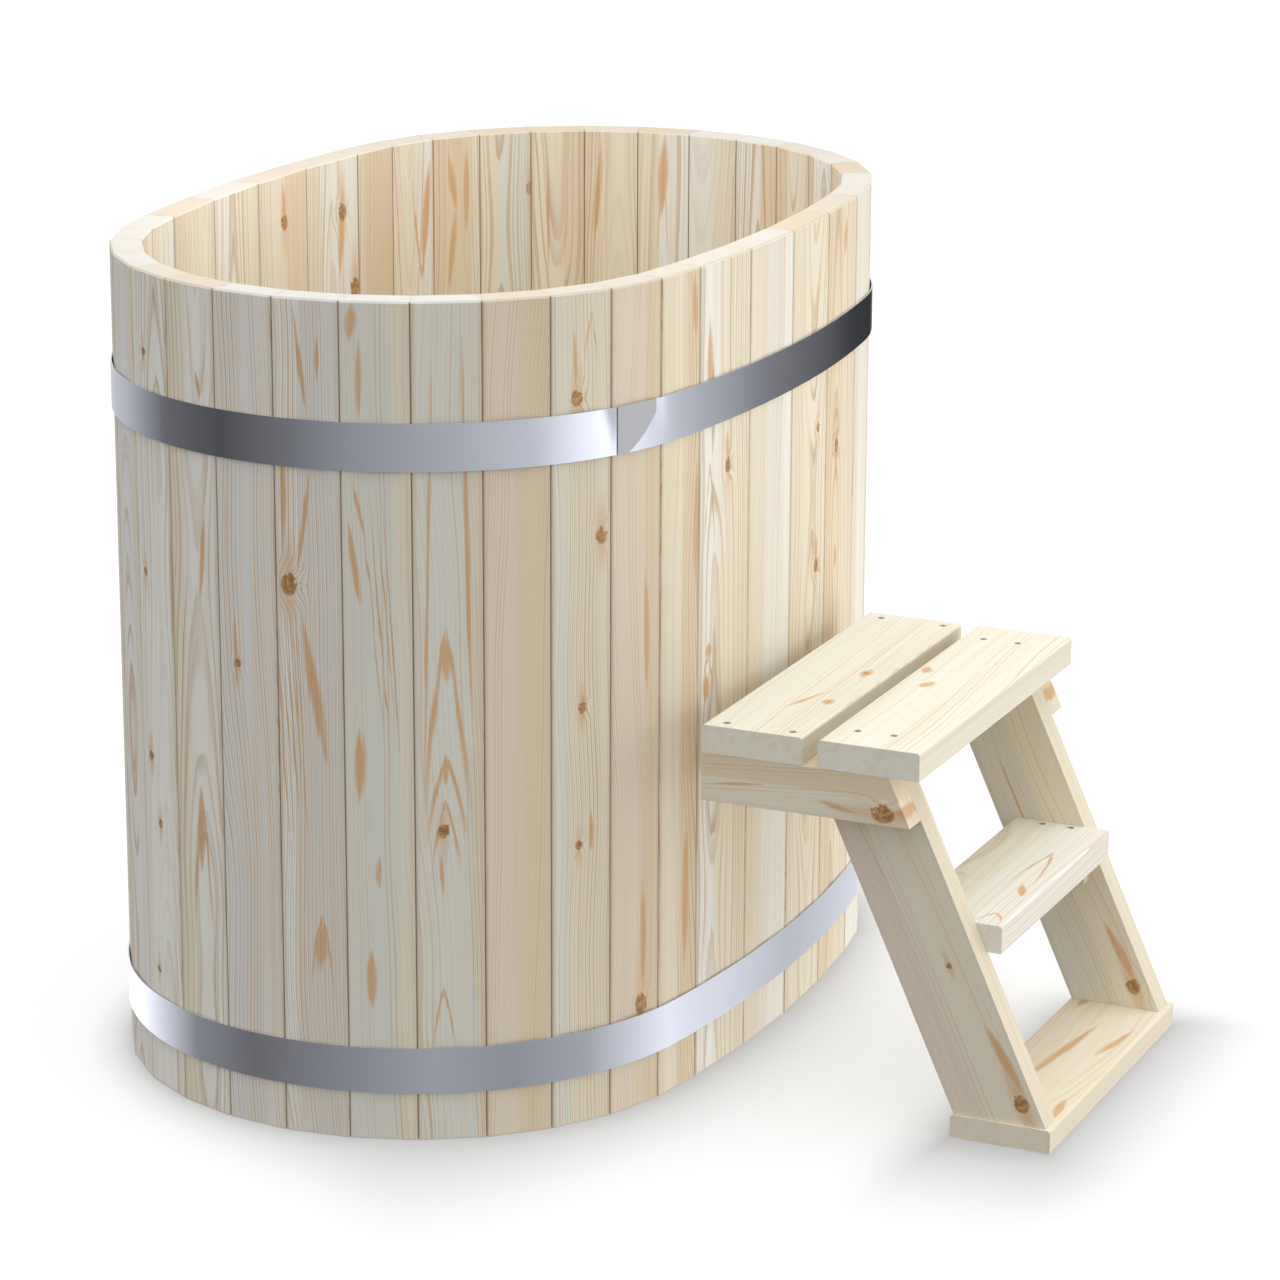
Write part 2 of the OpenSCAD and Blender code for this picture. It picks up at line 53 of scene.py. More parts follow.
class Value:
    """One shader value. A Python operator on it adds the Math node of that name."""

    def __init__(self, shader, socket):
        self.shader = shader
        self.socket = socket

    def maths(self, operation, first, second=0.0):
        return self.shader.node("Math", {"operation": operation}, {0: first, 1: second})

    def __add__(self, other):
        return self.maths("ADD", self, other)

    def __sub__(self, other):
        return self.maths("SUBTRACT", self, other)

    def __rsub__(self, other):
        return self.maths("SUBTRACT", other, self)

    def __mul__(self, other):
        return self.maths("MULTIPLY", self, other)

    def __truediv__(self, other):
        return self.maths("DIVIDE", self, other)

    def __rtruediv__(self, other):
        return self.maths("DIVIDE", other, self)

    def __pow__(self, other):
        return self.maths("POWER", self, other)

    __radd__ = __add__
    __rmul__ = __mul__

    def fraction(self):
        return self.maths("FRACT", self)

    def whole(self):
        return self.maths("FLOOR", self)

    def size(self):
        return self.maths("ABSOLUTE", self)

    def root(self):
        return self.maths("SQRT", self)

    def at_most(self, other):
        return self.maths("MINIMUM", self, other)

    def at_least(self, other):
        return self.maths("MAXIMUM", self, other)

    def bearing_from(self, x):
        """The angle of the point (x, this value) from the X axis, in radians."""
        return self.maths("ARCTAN2", self, x)

    def from_to(self, low, high):
        """0 below low, 1 above high, with a soft step between them; high may be the lower one."""
        return self.shader.node(
            "MapRange",
            {"interpolation_type": "SMOOTHSTEP", "clamp": True},
            {"Value": self, "From Min": low, "From Max": high},
        )


def largest(values):
    return functools.reduce(Value.at_least, values)


def distance(x, y):
    return (x * x + y * y).root()


def swing(noise, reach):
    """Noise that goes about 0, by half of its reach to either side."""
    return (noise - 0.5) * reach


# places of the sockets for colours on the Mix node
MIX_FACTOR, MIX_FIRST, MIX_SECOND, MIX_RESULT = 0, 6, 7, 2


class Shader:
    """The node tree of one material or of the world."""

    def __init__(self, tree):
        self.tree = tree
        tree.nodes.clear()

    def node(self, kind, settings=None, inputs=None, output=0):
        """Adds a node, sets it, feeds its sockets with values or links, and gives one output."""
        node = self.tree.nodes.new("ShaderNode" + kind)
        for name, setting in (settings or {}).items():
            if name == "stops":
                self.set_stops(node.color_ramp, setting)
            else:
                setattr(node, name, setting)
        for name, value in (inputs or {}).items():
            socket = node.inputs[name]
            if isinstance(value, Value):
                self.tree.links.new(value.socket, socket)
            else:
                socket.default_value = value
        return Value(self, node.outputs[output]) if node.outputs else None

    @staticmethod
    def set_stops(ramp, stops):
        """Stops are (place, brightness)."""
        while len(ramp.elements) > 1:
            ramp.elements.remove(ramp.elements[-1])
        for i, (place, brightness) in enumerate(stops):
            element = ramp.elements[0] if i == 0 else ramp.elements.new(place)
            element.position = place
            element.color = colour(brightness)

    def object_place(self):
        """Object coordinates, in metres; every piece has its origin at the origin of the frame."""
        return self.node("TexCoord", output="Object")

    def noise(self, place, scale, detail=2.0, roughness=0.5, stretch=(1, 1, 1), shift=(0, 0, 0)):
        """Noise from 0 to 1; stretch is how many times finer it is along each axis."""
        scaled = self.node("Mapping", {}, {"Vector": place, "Location": shift, "Scale": stretch})
        return self.node(
            "TexNoise",
            {"noise_dimensions": "3D"},
            {"Vector": scaled, "Scale": scale, "Detail": detail, "Roughness": roughness},
        )

    def mix(self, amount, first, second, blend="MIX"):
        return self.node(
            "Mix",
            {"data_type": "RGBA", "blend_type": blend, "clamp_factor": True},
            {MIX_FACTOR: amount, MIX_FIRST: colour(first), MIX_SECOND: colour(second)},
            output=MIX_RESULT,
        )

    def bump(self, height, strength, deep):
        return self.node("Bump", {}, {"Strength": strength, "Distance": deep, "Height": height})

    def split(self, vector):
        return [self.node("SeparateXYZ", {}, {0: vector}, output=axis) for axis in "XYZ"]


def colour(shade):
    """A socket stays as it is; a number or a red, green, blue triple gets its missing channels."""
    if isinstance(shade, Value):
        return shade
    if isinstance(shade, (int, float)):
        shade = (shade, shade, shade)
    return (*shade, 1.0)


def new_material(name):
    material = bpy.data.materials.new(name)
    material.use_nodes = True
    return material, Shader(material.node_tree)


def finish_surface(shader, **sockets):
    """Ends a material in a Principled shader; sockets are named with _ for a blank."""
    inputs = {name.replace("_", " "): value for name, value in sockets.items()}
    surface = shader.node("BsdfPrincipled", {}, inputs)
    shader.node("OutputMaterial", {}, {"Surface": surface})


# softwood

# sapwood and heartwood, as they look under white light
GREENISH = (0.755, 0.745, 0.650)
PALE = (0.870, 0.850, 0.770)
BUTTER = (0.870, 0.840, 0.705)
COOL = (0.800, 0.785, 0.735)
CREAM = (0.845, 0.770, 0.605)
TAN = (0.790, 0.660, 0.465)
PINK = (0.800, 0.685, 0.550)
FLAME = (0.705, 0.442, 0.228)
LATEWOOD = (0.440, 0.285, 0.150)
GOLDEN_LINE = (0.570, 0.370, 0.175)
# a warm tint painted along an edge, for the shade at a chamfered edge: painted shade
EDGE_SHADE_TINT = (0.640, 0.500, 0.350)
JOINT = (0.260, 0.200, 0.135)
SAWN_TAN = (0.585, 0.462, 0.315)
SAWN_PALE = (0.625, 0.595, 0.535)
KNOT_HEART = (0.340, 0.160, 0.050)
KNOT_RIM = (0.600, 0.330, 0.130)

# growth rings are wide where a face lies along them, and narrow where it cuts across them, which
# is where the pith lies far aside of it
WIDE_RINGS = 0.0066
NARROW_RINGS = 0.0036
FAR_ASIDE = 0.04
# the pith's greatest lean, and the least and greatest taper of the tree, for each metre of length
LEAN = 0.012
TAPER = (0.008, 0.020)
# each piece takes its grain from its own part of the pattern, up to this far from its middle
PATTERN_REACH = 40
# how far the tint of a sawn end, the warm shade painted along an edge and the dark of a joint reach
# in
SAWN_REACH = 0.003
EDGE_SHADE_REACH = (0.0070, 0.0030)
JOINT_REACH = (0.0011, 0.0003)
# a knot is longer along the grain than across it, and its flame is this many times longer again
KNOT_LENGTH = 1.3
KNOT_TAIL = 4.0
# a piece without knots has one far below its foot
NO_KNOTS = [(0.0, -9000, 4)]
# the power of an arch's curve, and how much lower and narrower its inner curve is than its outer
ARCH_POWER = 0.68
ARCH_DROP = 0.14
ARCH_INNER = 0.82

# strengths, from 0 to 1: the orange of the strong years, dark ring lines, the warm shade painted
# along the edges, the dark of the joints, and the tint of the sawn ends
Look = namedtuple("Look", "flames lines strip joint end_tint")
STAVE_LOOK = Look(flames=0.48, lines=0.80, strip=0.55, joint=0.80, end_tint=0.92)
BOARD_LOOK = Look(flames=0.36, lines=0.40, strip=0.25, joint=0.10, end_tint=0.10)
FLOOR_LOOK = Look(flames=0.40, lines=0.50, strip=0.30, joint=0.80, end_tint=0.10)


class Timber:
    """Where one piece of wood lies and how large it is.

    centre is the middle of its outer face's lower end; across, depth and along are its own axes;
    closing is how much nearer its side lies, for each metre behind the outer face.
    """

    def __init__(self, centre, across, depth, along, width, length, closing=0.0):
        self.centre = centre
        self.turn = Matrix((across, depth, along)).transposed().to_euler()
        self.width = width
        self.length = length
        self.closing = closing


def in_metres(sizes):
    return [MM * size for size in sizes]


def knot_marks(across, along, knots, wobble):
    """Masks of the knots: their inside, their rims, the flames over and under them, and the swerve
    that they give to the rings. Each knot is (place across, place along, radius), in mm; the masks
    go by the distance from its middle, in radii."""
    marks = []
    for place, height, radius in map(in_metres, knots):
        x = (across - place + wobble[0]) / radius
        z = (along - height + wobble[1]) / (KNOT_LENGTH * radius)
        reach = distance(x, z)
        inside = reach.from_to(1.05, 0.85)
        rim = reach.from_to(0.80, 1.0) * reach.from_to(1.22, 1.0)
        flame = distance(x, z / KNOT_TAIL).from_to(1.8, 0.3)
        swerve = reach.from_to(3.4, 0.4) * radius
        marks.append((inside, rim, flame, swerve))
    insides, rims, flames, swerves = zip(*marks)
    return largest(insides), largest(rims), largest(flames), sum(swerves)


def orange_figures(across, along, flames, arches, wobble):
    """Mask of the orange wood where a face grazes the rings.

    A flame is a spindle: (middle across, middle height, half width, half length, lean), an arch is
    (tip across, tip height, spread, length), and one of negative length opens upwards; in mm.
    """
    marks = []
    for place, height, half_width, half_length, lean in map(in_metres, flames):
        z = (along - height) / half_length
        x = (across - place + wobble - z * lean) / half_width
        marks.append((1.0 - z * z - x.size()).from_to(0.0, 0.7))
    for place, tip, spread, length in map(in_metres, arches):
        down = (tip - along) / length
        x = ((across - place + wobble) / spread).size()
        under_the_outside = down.at_least(0.0) ** ARCH_POWER - x
        over_the_inside = x - (down - ARCH_DROP).at_least(0.0) ** ARCH_POWER * ARCH_INNER
        leg = under_the_outside.from_to(0.0, 0.10) * over_the_inside.from_to(-0.03, 0.07)
        marks.append(leg * down.from_to(1.0, 0.45))
    return largest(marks)


def softwood(name, timber, row, figures, seed, look):
    """Planed spruce, solid: the rings go round a wandering pith, so that faces and ends agree.

    row is the piece's colours, pith and knots, as in STAVES, and figures are its flames and arches;
    seed draws what else sets it apart from the pieces of the same look.
    """
    left, right, split, pith, knots = row
    pith = in_metres(pith)
    material, shader = new_material(name)
    random.seed(seed)
    shift = [random.uniform(-PATTERN_REACH, PATTERN_REACH) for _ in range(3)]
    place = shader.node(
        "Mapping",
        {"vector_type": "TEXTURE"},
        {"Vector": shader.object_place(), "Location": timber.centre, "Rotation": timber.turn},
    )
    across, depth, along = shader.split(place)

    def drawn_out(crosswise, lengthwise, detail=2.0, roughness=0.6):
        """Noise of so many waves to the metre across the grain, and so many along it."""
        waves = (crosswise, crosswise, lengthwise)
        return shader.noise(place, 1.0, detail, roughness, waves, shift)

    slow = drawn_out(5.0, 2.3, detail=1.0, roughness=0.4)
    fine = drawn_out(60, 3.0, detail=3.0)
    fibre = drawn_out(900, 14)
    streak = drawn_out(95, 1.1, roughness=0.5)
    grain = drawn_out(280, 5.0)
    dense = drawn_out(26, 0.9, detail=1.0, roughness=0.5).from_to(0.42, 0.60)
    mottle = shader.noise(place, 170.0, roughness=0.6, shift=shift)
    wobble = (swing(mottle, 0.006) + swing(fine, 0.004), swing(mottle, 0.010))
    inside, rim, flame_of_knot, swerve = knot_marks(across, along, knots or NO_KNOTS, wobble)

    # rings: the distance from the pith, which leans and wanders along the tree
    lean = random.uniform(-LEAN, LEAN)
    taper = random.choice((-1, 1)) * random.uniform(*TAPER)
    from_pith = distance(across - pith[0] - along * lean, depth - pith[1])
    radius = from_pith + along * taper + swing(slow, 0.030) + swing(fine, 0.0016)
    spacing = NARROW_RINGS if abs(pith[0]) > FAR_ASIDE else WIDE_RINGS
    rings = (radius + swerve * 0.8) / spacing
    phase = rings.fraction()
    year = shader.node("TexWhiteNoise", {"noise_dimensions": "1D"}, {"W": rings.whole() + seed})
    line = phase.from_to(0.74, 0.97) * phase.from_to(1.0, 0.975) * (year * 0.7 + 0.3)
    line = line * (dense * 0.6 + 0.4)
    half_year = (rings * 2.0 + 0.3).fraction()
    faint = half_year.from_to(0.66, 0.92) * half_year.from_to(1.0, 0.95) * (dense * 0.65 + 0.15)
    from_end = along.at_most(timber.length - along)
    off_the_ends = from_end.from_to(0.001, 0.003) * 0.65 + 0.35
    line = line.at_least(faint) * off_the_ends

    # colour: two sides, soft bands, flames in the strong years, lines, knots
    side = (across / (timber.width / 2) - split + swing(streak, 1.6)).from_to(-0.16, 0.16)
    body = shader.mix(side, left, right)
    body = shader.mix(streak.from_to(0.35, 0.85) * 0.55, body, TAN)
    glow = year.from_to(0.62, 0.95) * phase.from_to(0.50, 0.88) * phase.from_to(1.0, 0.95)
    glow = glow * (off_the_ends * look.flames)
    if any(figures):
        ragged = swing(fine, 0.012) + swing(grain, 0.004)
        orange = orange_figures(across, along, *figures, ragged)
        glow = glow.at_least(orange * (grain * 0.9 + 0.52))
    body = shader.mix(glow, body, FLAME)
    body = shader.mix(line * look.lines, body, shader.mix(year, LATEWOOD, GOLDEN_LINE))
    body = shader.mix(flame_of_knot * (fine.from_to(0.3, 0.7) * 0.4 + 0.35), body, FLAME)
    body = shader.mix(inside, body, shader.mix(mottle.from_to(0.35, 0.65), KNOT_HEART, KNOT_RIM))
    body = shader.mix(rim * mottle.from_to(0.75, 0.35) * 0.95, body, KNOT_HEART)

    # fibres, the warm shade painted on each edge, the dark of the joint or handled edge, and the
    # sawn ends
    body = shader.mix(0.30, body, shader.mix(fibre, 0.80, 1.0), "MULTIPLY")
    from_edge = timber.width / 2 - depth * timber.closing - across.size()
    on_left, on_right = random.uniform(0.0, 1.0), random.uniform(0.0, 1.0)
    # painted shade: a warm strip along one or both edges, for the shade at the chamfer
    strip = across.from_to(-MM, MM) * (on_right - on_left) + on_left
    body = shader.mix(from_edge.from_to(*EDGE_SHADE_REACH) * strip * look.strip, body, EDGE_SHADE_TINT)
    body = shader.mix(from_edge.from_to(*JOINT_REACH) * look.joint, body, JOINT)
    pale = random.uniform(0.0, 1.0)
    sawn = tuple(low + (high - low) * pale for low, high in zip(SAWN_TAN, SAWN_PALE))
    body = shader.mix(from_end.from_to(SAWN_REACH, 0.0) * look.end_tint, body, sawn)

    finish_surface(
        shader,
        Base_Color=body,
        Roughness=0.60 - line * 0.12 - inside * 0.15 + fibre * 0.06,
        Specular_IOR_Level=0.3,
        Normal=shader.bump(line * 0.5 + fibre * 0.5 + inside * 0.6, strength=0.22, deep=0.0006),
    )
    return material


# staves, by number: colour of the left and right side as seen from outside, where they meet, from
# -1 to 1 across the stave, pith as (across, behind the outer face) and knots as (across, height,
# radius), in mm
STAVES = {
    1: (PALE, CREAM, 0.1, (10, 90), []),
    2: (CREAM, TAN, 0.3, (-20, 75), []),
    3: (TAN, CREAM, -0.2, (5, 110), []),
    4: (GREENISH, CREAM, 0.4, (12, 70), [(-37, 922, 7)]),
    5: (CREAM, TAN, -0.5, (-8, 62), []),
    6: (PALE, CREAM, 0.0, (14, 58), []),
    7: (TAN, CREAM, 0.6, (60, 90), []),
    8: (PALE, CREAM, 0.5, (4, 80), [(-23, 929, 8), (-50, 824, 9)]),
    9: (TAN, CREAM, 0.0, (-30, 60), [(-3, 938, 7)]),
    10: (CREAM, PALE, 0.2, (20, 95), []),
    11: (CREAM, TAN, 0.3, (-40, 70), []),
    12: (PALE, CREAM, 0.0, (0, 85), [(5, 700, 6)]),
    13: (CREAM, TAN, 0.1, (-14, 66), []),
    14: (CREAM, GREENISH, 0.0, (30, 70), []),
    15: (COOL, CREAM, 0.7, (-10, 90), []),
    16: (
        PALE, CREAM, 0.8, (8, 60),
        [(-15, 904, 4), (-23, 640, 4), (-21, 414, 5), (-3, 334, 4), (-16, 148, 4)],
    ),
    17: (CREAM, PALE, -0.3, (6, 75), []),
    18: (COOL, PALE, 0.4, (-70, 60), [(-15, 564, 4)]),
    19: (PALE, COOL, -0.3, (-70, 60), [(-24, 667, 9)]),
    20: (GREENISH, CREAM, 0.3, (60, 58), []),
    21: (GREENISH, CREAM, 0.7, (-50, 60), [(-8, 380, 6)]),
    22: (PINK, TAN, -0.1, (90, 60), []),
    23: (GREENISH, CREAM, -0.4, (-70, 70), [(-6, 879, 7), (27, 714, 7), (1, 512, 5), (-4, 345, 4)]),
    24: (PINK, TAN, 0.2, (-70, 50), [(10, 127, 9)]),
    25: (CREAM, TAN, 0.1, (54, 62), []),
    26: (PALE, CREAM, -0.1, (-22, 82), [(8, 749, 6)]),
    27: (CREAM, PALE, -0.35, (80, 60), []),
    28: (CREAM, CREAM, 0.4, (10, 75), [(32, 738, 5), (30, 561, 6)]),
    29: (TAN, CREAM, 0.2, (-10, 55), [(-15, 697, 6)]),
    30: (PALE, PALE, 0.0, (-50, 80), []),
    31: (CREAM, PALE, 0.2, (12, 90), []),
    32: (CREAM, TAN, 0.0, (30, 60), []),
    33: (PALE, TAN, 0.3, (-20, 80), [(0, 860, 6)]),
    34: (CREAM, TAN, 0.2, (6, 70), []),
    35: (TAN, PALE, -0.2, (-12, 62), []),
    36: (CREAM, PALE, 0.0, (16, 100), [(-40, 933, 5)]),
}

# how far a stringer of the step runs towards the tub for each metre that it rises
STRINGER_SLOPE = 0.458
UP_THE_SLOPE = Vector((0, STRINGER_SLOPE, 1)).normalized()
ACROSS_THE_SLOPE = Vector((0, 1, -STRINGER_SLOPE)).normalized()

# boards, by node: way across, way down from the outer face, way along, then as for staves
BOARDS = {
    "platform_board_inner": (
        Y, Z, X, BUTTER, BUTTER, 0.0, (110, -120), [(-35, 275, 3), (-37, 146, 2)],
    ),
    "platform_board_outer": (Y, Z, X, BUTTER, BUTTER, 0.0, (-110, -120), []),
    "rail_near": (Z, X, Y, CREAM, TAN, 0.0, (-70, 90), [(-16, 33, 10)]),
    "rail_far": (Z, X, Y, CREAM, TAN, 0.0, (-60, 90), []),
    "stringer_near": (
        ACROSS_THE_SLOPE, X, UP_THE_SLOPE, CREAM, PINK, 0.2, (70, 90),
        [(-35, 36, 8), (-15, 218, 3)],
    ),
    "stringer_far": (
        ACROSS_THE_SLOPE, X, UP_THE_SLOPE, CREAM, GREENISH, 0.0, (-74, 90), [(-33, 40, 8)],
    ),
    "middle_tread": (Y, Z, X, PALE, BUTTER, 0.0, (50, -80), []),
    "tread_cleats": (Z, X, Y, CREAM, TAN, 0.0, (0, 50), []),
    "base_board": (Y, Z, X, CREAM, CREAM, 0.2, (-16, -60), []),
    "wall_ledger": (Z, Y, X, CREAM, TAN, 0.1, (0, 60), []),
    "floor_bearers": (X, Z, Y, CREAM, CREAM, 0.0, (0, 60), []),
    "floor_board_1": (Y, Z, X, CREAM, TAN, 0.2, (20, -60), []),
    "floor_board_2": (Y, Z, X, PALE, CREAM, -0.2, (-10, -70), [(20, 300, 8)]),
    "floor_board_3": (Y, Z, X, CREAM, TAN, 0.4, (5, -90), [(-30, 260, 7)]),
    "floor_board_4": (Y, Z, X, TAN, CREAM, 0.0, (-24, -60), [(10, 700, 9)]),
    "floor_board_5": (Y, Z, X, CREAM, PALE, 0.3, (12, -75), []),
}

# orange figures, by node: flames and arches as in orange_figures
FIGURES = {
    "stave_01": ([(1, 942, 11, 68, -2)], [(0, 949, 11, 137)]),
    "stave_02": ([(18, 916, 7, 82, -6)], []),
    "stave_03": ([(12, 885, 3, 103, 0)], []),
    "stave_05": ([(7, 942, 6, 48, 6), (8, 843, 6, 64, -6), (-14, 926, 6, 68, -1)], []),
    "stave_06": ([(-22, 898, 9, 88, -9)], [(-13, 809, 18, -158)]),
    "stave_08": ([(-20, 902, 9, 69, -4)], []),
    "stave_09": ([(-2, 957, 5, 36, 1)], []),
    "stave_11": ([(10, 640, 7, 60, 3)], [(-6, 820, 16, 140)]),
    "stave_13": ([], [(4, 560, 18, 170), (4, 430, 14, 90)]),
    "stave_17": (
        [(14, 682, 7, 63, 7), (2, 348, 9, 61, 1), (13, 883, 5, 20, -5)],
        [(3, 409, 21, 219)],
    ),
    "stave_18": ([(-18, 579, 3, 60, -2)], []),
    "stave_19": (
        [(-29, 774, 5, 85, 0), (5, 545, 9, 105, -16), (-5, 741, 4, 74, 10), (-6, 930, 4, 69, -8),
         (14, 932, 4, 30, 1), (9, 235, 10, 37, 2), (-34, 500, 1.5, 175, -6),
         (-28, 480, 1.3, 150, -5), (-23, 505, 1.5, 160, -5), (-17, 520, 1.3, 140, -5),
         (-11, 500, 1.5, 165, -5)],
        [(10, 275, 18, 105)],
    ),
    "stave_20": (
        [(-28, 976, 10, 26, 2), (-18, 910, 5, 57, -1), (-25, 699, 6, 58, -8), (-22, 458, 9, 53, 1),
         (-13, 199, 8, 43, 0), (-3, 330, 4, 24, 0), (-19, 758, 3, 46, -9),
         (-7, 640, 1.4, 175, -15), (3, 620, 1.5, 200, -14), (9, 650, 1.3, 170, -12),
         (17, 615, 1.5, 200, -11)],
        [],
    ),
    "stave_21": (
        [(-23, 692, 3, 310, 7), (22, 733, 4, 268, -6), (-3, 584, 7, 34, 0), (-5, 453, 5, 23, 0),
         (-10, 327, 4, 31, -2)],
        [(-3, 627, 36, 270), (-4, 473, 30, 120), (-10, 191, 17, 90), (-5, 420, 20, 95)],
    ),
    "stave_23": (
        [(-9, 929, 3, 43, -2), (3, 517, 5, 15, 2), (13, 361, 4, 31, 0)],
        [(13, 980, 11, 72)],
    ),
    "stave_24": ([(17, 587, 6, 91, -1), (13, 216, 6, 85, 0)], []),
    "stave_25": ([(30, 953, 8, 45, -3), (34, 693, 9, 91, 1), (17, 239, 10, 113, 2)], []),
    "stave_26": (
        [(-37, 868, 11, 79, 0), (6, 771, 5, 28, -2), (-34, 532, 9, 12, 0), (-40, 486, 9, 21, 1)],
        [(-36, 765, 18, 122), (-36, 527, 18, 56)],
    ),
    "stave_28": ([(30, 577, 8, 30, -2)], []),
    "stave_29": ([(13, 957, 11, 31, 3), (-14, 693, 9, 30, 1), (-13, 555, 9, 20, -1)], []),
    "stave_32": ([(-12, 780, 7, 70, 4), (12, 420, 6, 50, -3)], []),
    "stave_34": ([(8, 300, 7, 60, 0)], [(-4, 700, 18, 200), (-4, 560, 13, 90)]),
    "platform_board_inner": (
        [(-35, 275, 12, 20, 0), (-37, 146, 10, 15, 0), (-8, 142, 5, 44, -12)], [],
    ),
    "platform_board_outer": ([(50, 319, 11, 18, 3), (28, 262, 11, 17, -4)], []),
    "rail_near": ([(-4, 214, 4, 40, -6), (-14, 90, 4, 30, 4), (-12, 6, 9, 16, 0)], []),
    "rail_far": ([(5, 150, 5, 60, 4), (-6, 10, 10, 18, 0)], []),
    "stringer_near": ([(-34, 92, 9, 56, 8)], []),
    "stringer_far": ([(-34, 85, 9, 52, 6), (20, 300, 3, 90, 0)], []),
    "middle_tread": ([(-40, 130, 8, 26, 8)], [(-30, 282, 20, 150), (-40, 44, 20, 40)]),
    "base_board": (
        [(43, 422, 8, 24, 0), (10, 250, 9, 120, -14), (-48, 70, 8, 40, 4), (-40, 300, 8, 60, -10)],
        [],
    ),
}
NO_FIGURES = ([], [])

# chamfers along a stave's outer and inner edges, and how near to a face a corner lies in it
OUTER_CHAMFER, INNER_CHAMFER = 0.0020, 0.0008
IN_THE_FACE = 5e-5

# a stave's seed is its number times STAVE_SEED, and the boards' seeds go up by BOARD_SEED
STAVE_SEED = 7
FIRST_BOARD_SEED, BOARD_SEED = 300, 11


def stave_timber(stave):
    """A stave by its outer face: its width over the chamfers, and how its sides close in."""
    faces = {}
    for polygon in stave.data.polygons:
        normal = polygon.normal
        outward = normal.xy.dot(polygon.center.xy) > 0
        if abs(normal.z) < UPRIGHT and outward:
            faces.setdefault((round(normal.x, 2), round(normal.y, 2)), []).append(polygon)
    widest = max(faces.values(), key=lambda face: sum(polygon.area for polygon in face))
    facing = max(widest, key=lambda polygon: polygon.area).normal
    facing = Vector((facing.x, facing.y, 0.0)).normalized()
    across = Vector((-facing.y, facing.x, 0.0))
    corners = [v.co for v in stave.data.vertices]
    outer = max(corner.dot(facing) for corner in corners)
    inner = min(corner.dot(facing) for corner in corners)
    front = [corner.dot(across) for corner in corners if corner.dot(facing) > outer - IN_THE_FACE]
    back = [corner.dot(across) for corner in corners if corner.dot(facing) < inner + IN_THE_FACE]
    middle = across * (min(front) + max(front)) / 2 + facing * outer
    width = max(front) - min(front) + 2 * OUTER_CHAMFER
    closing = (width - (max(back) - min(back)) - 2 * INNER_CHAMFER) / 2 / (outer - inner)
    height = max(corner.z for corner in corners)
    return Timber(middle, across, -facing, Z, width, height, closing)


def board_timber(board, across, depth, along):
    """A straight board, by its reach along its own three axes."""
    corners = [v.co for v in board.data.vertices]
    spans = []
    for way in (across, depth, along):
        reaches = [corner.dot(way) for corner in corners]
        spans.append((min(reaches), max(reaches)))
    (left, right), (outer, _), (foot, head) = spans
    centre = across * (left + right) / 2 + depth * outer + along * foot
    return Timber(centre, across, depth, along, right - left, head - foot)


def dress(node_name, material):
    for slot in nodes[node_name].material_slots:
        slot.material = material


def dress_in_wood(name, timber, row, seed, look):
    figures = FIGURES.get(name, NO_FIGURES)
    dress(name, softwood(name + "_wood", timber, row, figures, seed, look))


def dress_staves():
    for number, row in STAVES.items():
        name = f"stave_{number:02d}"
        dress_in_wood(name, stave_timber(nodes[name]), row, STAVE_SEED * number, STAVE_LOOK)


def dress_boards():
    for number, (name, (across, depth, along, *row)) in enumerate(BOARDS.items()):
        timber = board_timber(nodes[name], across, depth, along)
        look = FLOOR_LOOK if name.startswith("floor_board") else BOARD_LOOK
        dress_in_wood(name, timber, row, FIRST_BOARD_SEED + BOARD_SEED * number, look)


# metal and rubber

# how much the hoops' edges are eased
HOOP_EDGE = 0.0003
# where the lower hoop's flat tail is, on the oval, and how far round it the tail's faces and the
# middle of its outer face can be; the upper hoop's tail is across from it
TAIL_MIDDLE = Vector((0.366, 0.345, 0.0))
TAIL_REACH = 0.09
TAIL_FACE_REACH = 0.04
# cosines: above the first, two faces look the same way, and below the second they are edge and face
SAME_WAY, EDGE_TO_FACE = 0.9, 0.8
# the hoops' material slots after the first, which is the polished strip
DULL_SLOT, CUT_SLOT = 1, 2


def rolled_steel(name, tone, roughness, waves, marks=0.05):
    """Cold-rolled strip or turned fitting: fine lines, as waves to the metre along each axis, and
    faint wipe marks; marks is how much both change the roughness."""
    material, shader = new_material(name)
    place = shader.object_place()
    lines = shader.noise(place, 1.0, roughness=0.6, stretch=waves)
    clouds = shader.noise(place, 9.0, detail=3.0, roughness=0.55)
    finish_surface(
        shader,
        Base_Color=shader.mix(clouds, tone, tuple(0.93 * channel for channel in tone)),
        Roughness=roughness + swing(lines, marks) + swing(clouds, marks),
        Metallic=1.0,
        Normal=shader.bump(lines, strength=0.03, deep=0.0002),
    )
    return material


def cut_steel(name):
    """The sheared edge of a strip, too rough to mirror anything; its colour is painted light, far
    paler than steel, to lift the shade on the edge.
    """
    material, shader = new_material(name)
    marks = shader.noise(shader.object_place(), 900.0, roughness=0.6)
    # painted light: a near-white colour that lifts the shade on the cut edge
    body = shader.mix(marks, (0.85, 0.855, 0.87), (0.91, 0.915, 0.93))
    finish_surface(shader, Base_Color=body, Roughness=0.7)
    return material


def rubber(name):
    """Black rubber with a grey bloom and a fine grain."""
    material, shader = new_material(name)
    place = shader.object_place()
    grain = shader.noise(place, 1400.0, roughness=0.6)
    bloom = shader.noise(place, 40.0, detail=3.0, roughness=0.6)
    finish_surface(
        shader,
        Base_Color=shader.mix(bloom, (0.018, 0.018, 0.019), (0.036, 0.035, 0.034)),
        Roughness=0.55 + bloom * 0.2,
        Normal=shader.bump(grain, strength=0.2, deep=0.0002),
    )
    return material


